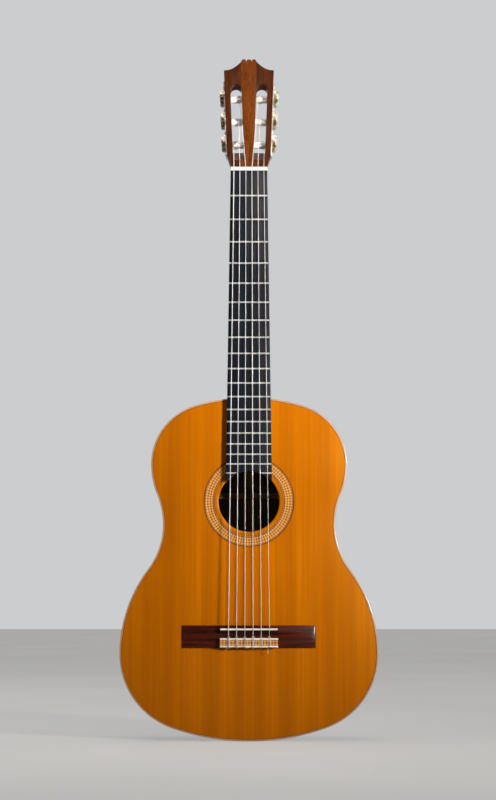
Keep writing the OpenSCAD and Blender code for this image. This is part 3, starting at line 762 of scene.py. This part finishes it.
def build_tie_cap():
    """Two bone strips with a mosaic of tiles between them, on top of the tie block."""
    cap_strip("tie_cap_lower", TIE_LOW)
    cap_strip("tie_cap_upper", TIE_HIGH - CAP_STRIP_W)
    rows, columns = 8, 80
    low, high = TIE_LOW + CAP_STRIP_W, TIE_HIGH - CAP_STRIP_W
    verts, faces, slots = [], [], []
    for y in (CAP_FRONT + 0.15, CAP_REAR):
        for row in range(rows + 1):
            for k in range(columns + 1):
                verts.append((lerp(-BLOCK_HALF, BLOCK_HALF, k / columns), y, lerp(low, high, row / rows)))
    wide = columns + 1
    under = (rows + 1) * wide
    for row in range(rows):
        for k in range(columns):
            a = row * wide + k
            faces.append((a, a + 1, a + 1 + wide, a + wide))
            slots.append(mosaic_slot(row, k))
    corners = (0, columns, rows * wide + columns, rows * wide)
    faces.append(tuple(under + c for c in corners))
    edge_ring = list(range(wide))
    edge_ring += [r * wide + columns for r in range(1, rows + 1)]
    edge_ring += [rows * wide + c for c in range(columns - 1, -1, -1)]
    edge_ring += [r * wide for r in range(rows - 1, 0, -1)]
    for a, b in zip(edge_ring, edge_ring[1:] + edge_ring[:1]):
        faces.append((a, under + a, under + b, b))
    slots += [BROWN] * (1 + len(edge_ring))
    piece = make_object("tie_cap_mosaic", verts, faces, MOSAIC_WOODS[:LINE], smooth=False, slots=slots)
    recalc_normals(piece)
    fit_piece(piece, GUITAR, "rosette_inlay", "tie_block_cap")


def build_knots():
    """Each string leaves its hole, loops up over the tie block, goes under itself and is
    tucked down again; its end runs along the block's lower edge, or hangs loose on 1 and 6."""
    for i in range(1, 7):
        r = STRING_R[i - 1]
        x = SADDLE_SPREAD * (0.5 - (i - 1) / 5)
        over = CAP_FRONT - r - 0.05
        path = [
            (x, FACE - 5, TIE_LOW + 1.5), (x, FACE - 5, TIE_LOW - 0.6),
            (x + 0.3, FACE - 7.2, TIE_LOW - 1.3 - r), (x + 0.6, over + 0.3, TIE_LOW - 0.4),
            (x + 0.9, over, TIE_LOW + 1.2), (x + 1.2, over, TIE_HIGH - 1.0),
            (x + 1.5, over + 0.8, TIE_HIGH + 0.7), (x + 1.2, over + 3.4, TIE_HIGH + 1.7),
            (x, FACE - 5.6 + 1.6 * r, TIE_HIGH + 1.9), (x - 1.3, over + 3.2, TIE_HIGH + 1.7),
            (x - 1.2, over + 0.7, TIE_HIGH + 0.6), (x - 0.7, over - 0.1, TIE_HIGH - 1.2),
            (x - 0.6, over - 0.1, TIE_LOW + 3.0),
        ]
        if i == 6:
            path += [(x - 1.2, over - 0.2, TIE_LOW + 0.8), (x - 2.6, over - 0.2, TIE_LOW - 1.2),
                     (x - 4.6, over + 0.6, TIE_LOW - 3.8)]
        elif i == 1:
            path += [(x - 0.9, over - 0.1, TIE_LOW + 0.8), (x - 1.6, over + 0.9, TIE_LOW - 1.6),
                     (x - 2.2, over + 2.4, TIE_LOW - 6.5), (x - 1.6, over + 4.0, TIE_LOW - 9.0)]
        else:
            path += [(x - 1.2, over - 0.1, TIE_LOW + 1.3), (x - 3.2, over - 0.15, TIE_LOW + 0.5),
                     (x - 8.5, over - 0.2, TIE_LOW + 0.25), (x - 12.6, over - 0.3 - r, TIE_LOW + 0.4)]
        piece = tube(f"string_{i}_knot", spline(path), r, NYLON if i < 4 else WOUND_KNOT)
        fit_piece(piece, GUITAR, "nylon" if i < 4 else "wound_string")


def back_depth(cut):
    """The arched back's depth as a function of x and z, moved inward by cut."""
    return lambda x, z: back_y(x, z, cut)


def build_binding(edge, face_depth):
    """A strip round one edge of the body. face_depth says where the face is, moved inward."""
    r = EDGE_ROUND
    section = [(0, face_depth(BIND_H)), (0, face_depth(r)), (0.3 * r, face_depth(0.3 * r)),
               (r, face_depth(0)), (RIB_T, face_depth(0)), (RIB_T, face_depth(BIND_H))]
    strip = band(f"{edge}_binding_strip", LOOP, section, BINDING)
    fit_piece(strip, GUITAR, "maple_binding", f"{edge}_binding")


def build_bindings():
    build_binding("top", lambda cut: FACE + cut)
    build_binding("back", back_depth)


TAIL_HALF, NECK_HALF = 6.0, 28.0


def rib_stations():
    """The right half of the outline between the tail strip and the neck block."""
    stations = []
    for station in HALF:
        x, z = station[:2]
        gap = TAIL_HALF if z < WAIST_Z else NECK_HALF
        if x >= gap:
            stations.append(station)
    return stations


def build_ribs():
    rear = back_depth(BIND_H)
    section = [(0, FACE + BIND_H), (0, rear), (RIB_T, rear), (RIB_T, FACE + BIND_H)]
    treble = rib_stations()
    for side, stations in (("treble", treble), ("bass", mirrored(treble))):
        rib = band(f"{side}_side", stations, section, ROSEWOOD_RIB, closed=False)
        fit_piece(rib, GUITAR, "rosewood_body", f"{side}_rib")


def build_back():
    """The arched back: rows between matching points of the two halves."""
    columns = 24
    verts, faces = [], []
    rows = [inset_point(s, RIB_T) for s in HALF]
    sliver = 0.01                      # half the width that the first and last rows keep
    rows[0] = (sliver, rows[0][1])
    rows[-1] = (sliver, rows[-1][1])
    for cut in (0.0, BACK_T):
        for half, z in rows:
            for c in range(columns + 1):
                x = half * (2 * c / columns - 1)
                verts.append((x, back_y(x, z, cut), z))
    wide = columns + 1
    under = len(rows) * wide
    for i in range(len(rows) - 1):
        for c in range(columns):
            a = i * wide + c
            faces.append((a, a + 1, a + 1 + wide, a + wide))
            faces.append((under + a + wide, under + a + 1 + wide, under + a + 1, under + a))
        for a in (i * wide, i * wide + columns):
            faces.append((a, a + wide, under + a + wide, under + a))
    piece = make_object("back_board", verts, faces, [ROSEWOOD_BACK])
    recalc_normals(piece)
    sharpen(piece, 30)
    fit_piece(piece, GUITAR, "rosewood_body", "back_plate")


# ---- neck ---------------------------------------------------------------------------------

NECK_NEAR, NECK_DEEP = 15.5, 17.5
HEEL_BACK = FACE + DEPTH - DEPTH_TAPER
HEEL_TIP, HEEL_RISE = BODY_LEN + 23, 46.0
HEEL_CAP_T, HEEL_CAP_HALF = 2.5, 14.0
HEEL_FRONT = 30.5
HEAD_START = 26.0                  # length over which the neck squares up to meet the head


def board_half(z):
    return NUT_W / 2 + (NUT_Z - z) * (TWELFTH_W - NUT_W) / SCALE_LEN


def neck_section(z):
    """At a height: the neck's depth, half its width at the back of the heel (None above it)
    and how round its section is, from 0 to 1."""
    wood_back = HEEL_BACK - HEEL_CAP_T - FACE
    top = NUT_Z + NUT_T
    shaft = lerp(NECK_DEEP, NECK_NEAR, (z - BODY_LEN) / (NUT_Z - BODY_LEN))
    if z <= HEEL_TIP:
        rise = max(0.0, z - HEEL_TIP + HEEL_CAP_HALF)
        end = math.sqrt(max(HEEL_CAP_HALF ** 2 - rise ** 2, 0.0))
        return wood_back, end, 0.06
    if z < HEEL_TIP + HEEL_RISE:
        turn = math.sin(math.acos((HEEL_TIP + HEEL_RISE - z) / HEEL_RISE))
        reach = smoothstep(turn)
        depth = lerp(wood_back, shaft, lerp(turn, reach, 0.35))
        return depth, 0.0, lerp(0.5, 1.0, reach)
    square = smoothstep((z - top + HEAD_START) / HEAD_START)
    return lerp(shaft, HEAD_T + 0.4, square), None, lerp(1.0, 0.12, square)


def build_neck():
    """A half-round neck that squares up towards the head and sweeps down into the heel."""
    top = NUT_Z + NUT_T
    foot = [BODY_LEN - 6 + 2 * k for k in range(8)]
    tip = [HEEL_TIP - 11 + k for k in range(12)]
    sweep = [HEEL_TIP + HEEL_RISE * (1 - math.cos(math.radians(4 * k + 2))) for k in range(22)]
    shaft = [560 + 25 * k for k in range(9)]
    squaring = [top - HEAD_START + 2 * k for k in range(13)]
    heights = foot + tip + sweep + shaft + squaring + [top]
    across = 24
    verts = []
    for z in heights:
        depth, end, roundness = neck_section(z)
        half = board_half(z)
        for k in range(2 * across + 1):
            u = k / across - 1
            side = math.copysign(1.0, u)
            s = 1 - abs(u)
            d = depth * math.sin(math.pi / 2 * s) ** 0.8
            if end is None:
                width = half
            else:
                near = HEEL_FRONT * half / board_half(BODY_LEN)
                swell = max(math.cos(math.pi / 2 * d / (HEEL_BACK - FACE)), 0.0) ** 1.3
                width = end + (near - end) * swell
            x = side * width * max(math.cos(math.pi / 2 * s), 0.0) ** roundness
            if k == across:
                x = 0.0
            verts.append((x, FACE + d, z))
    wide = 2 * across + 1
    faces = ring_faces(len(heights), wide) + end_faces(len(heights), wide)
    piece = make_object("neck_and_heel", verts, faces, [NECK_WOOD])
    recalc_normals(piece)
    sharpen(piece, 50)
    fit_piece(piece, GUITAR, "cedar_neck", "neck")


def build_neck_block():
    """The block and foot inside the body, cut from the CAD's neck just under the heel."""
    bm = node_bmesh("neck")
    cut = bmesh.ops.bisect_plane(bm, geom=bm.verts[:] + bm.edges[:] + bm.faces[:],
                                 plane_co=(0, 0, (BODY_LEN - 5) * MM), plane_no=(0, 0, 1), clear_outer=True)
    rim = [e for e in cut["geom_cut"] if isinstance(e, bmesh.types.BMEdge)]
    bmesh.ops.triangle_fill(bm, edges=rim, use_beauty=True)
    fit_piece(finish_bmesh(bm, "neck_block_inside", NECK_WOOD, 30), GUITAR, "cedar_neck", "neck")


# ---- head and tuning machines -------------------------------------------------------------

HEAD_TILT, SIDE_TILT = math.radians(7), math.radians(2.17)
SIDE_FOOT = NUT_W / 2 + 4.3
VENEER_T = 2.2
ROLLER_Y = (HEAD_T - VENEER_T) / 2
FIRST_ROLLER, ROLLER_PITCH = 37.3, 35.0
GEAR_X, WORM_UP = 3.9, 8.4
WORM_R, WORM_WAVE, WORM_LEN, SHAFT_R = 2.55, 0.55, 9.0, 1.5
GEAR_PITCH_R, GEAR_TEETH = 5.675, 14
WORM_PITCH = 2 * math.pi * GEAR_PITCH_R / GEAR_TEETH
SHAFT_FRONT, SHAFT_BACK = -8.8, 34.1
BUTTON_FROM, BUTTON_L, BUTTON_W, BUTTON_H = HEAD_T - ROLLER_Y + 8, 18.0, 7.5, 11.0
STRING_END = [21.8, 15.0, 13.2]    # how far from the middle a string meets its roller, by row

IN_HEAD = Matrix.Translation((0, FACE, NUT_Z + NUT_T)) @ Matrix.Rotation(-HEAD_TILT, 4, "X")


def side_of(i):
    """1 for the treble side, -1 for the bass side."""
    return 1 if i <= 3 else -1


def row_of(i):
    """Which roller of its side a string goes to, from the nut up."""
    return i - 1 if i <= 3 else 6 - i


def roller_w(i):
    return FIRST_ROLLER + ROLLER_PITCH * row_of(i)


def in_side(side):
    """The frame on one side of the head: X out of the side and Z along it."""
    return (IN_HEAD @ Matrix.Diagonal((side, 1, 1, 1)) @ Matrix.Translation((SIDE_FOOT, 0, 0))
            @ Matrix.Rotation(SIDE_TILT, 4, "Y"))


def at_machine(i):
    """The frame of one worm and button: X out of the side and Y backwards along the shaft."""
    return in_side(side_of(i)) @ Matrix.Translation((GEAR_X, ROLLER_Y, roller_w(i) + WORM_UP))


def head_local(point):
    """A point of the model in the head's own axes, in millimetres."""
    return IN_HEAD.inverted() @ (point / MM)


def lathe_along_y(name, rings, count, material, place):
    """Rings of points along Y: each is a depth and a function that turns an angle into (x, z)."""
    verts = []
    for y, section in rings:
        for k in range(count):
            x, z = section(2 * math.pi * k / count)
            verts.append(place @ Vector((x, y, z)))
    faces = ring_faces(len(rings), count) + end_faces(len(rings), count)
    piece = make_object(name, verts, faces, [material])
    recalc_normals(piece)
    sharpen(piece, 40)
    return piece


def round_section(r, dx=0.0, dz=0.0):
    return lambda t: (dx + r * math.cos(t), dz + r * math.sin(t))


def build_worm(i):
    """The threaded worm on its shaft: an off-centre circle that turns once a pitch."""
    rings = [(SHAFT_FRONT, round_section(SHAFT_R - 0.3)), (SHAFT_FRONT + 0.3, round_section(SHAFT_R)),
             (-WORM_LEN / 2 - 0.05, round_section(SHAFT_R))]
    steps = 80
    for k in range(steps + 1):
        y = WORM_LEN * (k / steps - 0.5)
        turn = -math.pi / 2 - 2 * math.pi * y / WORM_PITCH
        rings.append((y, round_section(WORM_R, WORM_WAVE * math.cos(turn), WORM_WAVE * math.sin(turn))))
    rings += [(WORM_LEN / 2 + 0.05, round_section(SHAFT_R)), (SHAFT_BACK, round_section(SHAFT_R))]
    piece = lathe_along_y(f"worm_{i}_thread", rings, 28, PLATE_METAL, at_machine(i))
    fit_piece(piece, f"tuner_knob_{i}", "nickel_plate", f"worm_{i}")


BUTTON_COLLAR = 0.62               # the least thickness of a button, as a share of the most
# how far along the button, and its width there as a share of the most
BUTTON_PROFILE = [(0.0, 0.34), (0.02, 0.40), (0.09, 0.43), (0.13, 0.62), (0.20, 0.80), (0.32, 0.91),
                  (0.50, 0.97), (0.72, 1.0), (0.86, 0.985), (0.94, 0.92), (0.98, 0.80), (1.0, 0.62)]


def build_button(i):
    """A flat oval button that swells from its collar to a rounded end."""
    def oval(size, square):
        def section(t):
            c, s = math.cos(t), math.sin(t)
            x = math.copysign(abs(c) ** square, c) * BUTTON_W / 2
            z = math.copysign(abs(s) ** square, s) * BUTTON_H / 2
            return x * max(size, BUTTON_COLLAR), z * size
        return section
    rings = []
    for u, size in BUTTON_PROFILE:
        rings.append((BUTTON_FROM + BUTTON_L * u, oval(size, lerp(1.0, 0.72, smoothstep(u * 3)))))
    piece = lathe_along_y(f"button_{i}_pearl", rings, 40, PEARL, at_machine(i))
    fit_piece(piece, f"tuner_knob_{i}", "button_cream", f"button_{i}")


def build_winding(i):
    """The turns of a string on its roller, from where the string arrives to the cross hole."""
    side, w, r = side_of(i), roller_w(i), STRING_R[i - 1]
    place = in_side(side)
    start = (STRING_END[row_of(i)] - SIDE_FOOT - w * math.sin(SIDE_TILT)) / math.cos(SIDE_TILT)
    along = -1 if row_of(i) == 0 else 1
    turns = 4.25 if i < 4 else 3.25
    per_turn = 24
    points = []
    for k in range(int(turns * per_turn) + 1):
        turn = k / per_turn
        t = 2 * math.pi * turn
        reach = ROLLER_R + r + 0.3 * (1 - smoothstep(turn * 2))
        x = start + along * 2.1 * r * turn
        points.append((x, ROLLER_Y - reach * math.cos(t), w + reach * math.sin(t)))
    x, y, z = points[-1]
    points += [(x + along * 0.5, lerp(y, ROLLER_Y, 0.25), lerp(z, w, 0.25)),
               (x + along * 0.7, lerp(y, ROLLER_Y, 0.6), lerp(z, w, 0.6))]
    route = [place @ Vector(p) for p in points]
    piece = tube(f"string_{i}_winding", route, r, NYLON if i < 4 else WOUND_KNOT, 10)
    recalc_normals(piece)
    fit_piece(piece, f"string_roller_{i}", "nylon" if i < 4 else "wound_string")


def build_head():
    def above_nut(p):
        return p.z > (NUT_Z + NUT_T + 0.5) * MM

    def head_wood_edge(p):
        return head_local(p).y > 1 and above_nut(p)

    def veneer_edge(p):
        return head_local(p).y < -VENEER_T + 0.2 and above_nut(p)
    soften("headstock", "headstock_wood", 0.6, NECK_WOOD, "cedar_neck", head_wood_edge)
    soften("head_veneer", "headstock_veneer", 0.4, ROSEWOOD_HEAD, "rosewood_veneer", veneer_edge)
    for side in ("bass", "treble"):
        soften(f"{side}_machine_plate", f"{side}_plate", 0.25, PLATE_METAL, "nickel_plate")
    for i in range(1, 7):
        build_worm(i)
        build_button(i)
        build_winding(i)


def in_front_of(y):
    """Chooses the edges in front of a depth."""
    return lambda p: p.y < y * MM


def build_fittings():
    soften("fingerboard", "fingerboard_ebony", 0.35, EBONY, "ebony_board", in_front_of(FACE - 6))
    soften("nut", "nut_bone", 0.35, BONE, "bone", in_front_of(FACE - NUT_H + 0.3))
    soften("bridge", "bridge_wood", 0.4, ROSEWOOD_BRIDGE, "rosewood_veneer")
    soften("heel_cap", "heel_cap_wood", 0.4, ROSEWOOD_BACK, "rosewood_body",
           lambda p: p.y > (HEEL_BACK - 0.2) * MM)


# ---- lights, floor and camera: places in metres --------------------------------------------

LEAN = math.radians(6)             # how far the camera looks up, as the guitar leans back
NUT_DISTANCE = 2.673               # from the camera to the nut along its view
NUT_RISE = 0.3281                  # from the camera up to the nut, across its view
FRET_PLANE = -0.051
CAMERA_X = -0.0013
SENSOR, LENS = 36, 84.2            # in millimetres
FLOOR_GLOW, FLOOR_HALF = 1.15, 9000  # the half width in millimetres
BACKDROP = (0.60, 0.61, 0.62, 1)    # what the camera sees behind the guitar
AMBIENT = (0.060, 0.050, 0.042, 1)  # what lights the guitar from all round


def build_camera():
    data = bpy.data.cameras.new("camera")
    data.sensor_width = SENSOR
    data.lens = LENS
    camera = bpy.data.objects.new("camera", data)
    bpy.context.scene.collection.objects.link(camera)
    camera.location = (
        CAMERA_X,
        FRET_PLANE - NUT_DISTANCE * math.cos(LEAN) + NUT_RISE * math.sin(LEAN),
        NUT_Z * MM - NUT_DISTANCE * math.sin(LEAN) - NUT_RISE * math.cos(LEAN),
    )
    camera.rotation_euler = (math.pi / 2 + LEAN, 0, 0)
    bpy.context.scene.camera = camera


def area_light(name, place, target, size, power, colour, spread=180):
    """A soft light at a place, turned to its target. Its spread is in degrees."""
    data = bpy.data.lights.new(name, "AREA")
    data.shape = "RECTANGLE"
    data.spread = math.radians(spread)
    data.size, data.size_y = size
    data.energy = power
    data.color = colour
    light = bpy.data.objects.new(name, data)
    bpy.context.scene.collection.objects.link(light)
    light.location = place
    light.rotation_euler = (Vector(target) - Vector(place)).to_track_quat("-Z", "Y").to_euler()


def build_floor():
    """A pale floor. Its glow is seen by the camera alone, and keeps it plain far from the lights."""
    m = Maker("floor", Roughness=0.8, Specular_IOR_Level=0.1)
    cloud = m.noise(m.stretched(2, 2, 2), detail=3)
    pale = m.ramp(cloud, (0.3, (0.32, 0.32, 0.315)), (0.7, (0.34, 0.34, 0.335)))
    seen = m.tree.nodes.new("ShaderNodeLightPath").outputs["Is Camera Ray"]
    m.link(pale, "Base Color")
    m.link(pale, "Emission Color")
    m.link(m.math("MULTIPLY", seen, FLOOR_GLOW), "Emission Strength")
    half = FLOOR_HALF
    corners = [(-half, -half, 0), (half, -half, 0), (half, half, 0), (-half, half, 0)]
    make_object("floor", corners, [(0, 1, 2, 3)], [m.material])


def build_world():
    """Even pale surroundings for the camera, and dim warm ones for the light on the object."""
    world = bpy.data.worlds.new("studio")
    bpy.context.scene.world = world
    world.use_nodes = True
    nodes, links = world.node_tree.nodes, world.node_tree.links
    seen = nodes.new("ShaderNodeLightPath").outputs["Is Camera Ray"]
    colour = nodes.new("ShaderNodeMix")
    colour.data_type = "RGBA"
    colour.inputs[6].default_value = AMBIENT
    colour.inputs[7].default_value = BACKDROP
    links.new(seen, colour.inputs[0])
    links.new(colour.outputs[2], nodes["Background"].inputs["Color"])


def build_studio():
    build_floor()
    build_world()
    area_light("key", (1.53, -1.45, 0.65), (-0.35, 0, 0.72), (0.3, 0.3), 8.4, (1.0, 0.97, 0.92), 55)
    area_light("head", (0.35, -1.5, 1.15), (0, 0, 0.96), (0.25, 0.25), 0.13, (1.0, 0.98, 0.95), 18)
    area_light("overhead", (0, -0.2, 2.4), (0, -0.2, 0), (2.4, 1.8), 14, (1.0, 0.99, 0.97))
    area_light("fill", (-1.8, -1.6, 0.9), (0, 0, 0.45), (1.4, 1.4), 1.4, (0.95, 0.97, 1.0))
    area_light("back", (-0.6, 1.5, 1.7), (0, 0, 0.5), (1.2, 1.2), 5, (1.0, 0.99, 0.97))
    bpy.context.scene.view_settings.view_transform = "Standard"


build_camera()
build_studio()
paint_frame_nodes()
build_top()
build_bindings()
build_ribs()
build_back()
build_rosette()
build_tie_cap()
build_knots()
build_neck()
build_neck_block()
build_head()
build_fittings()
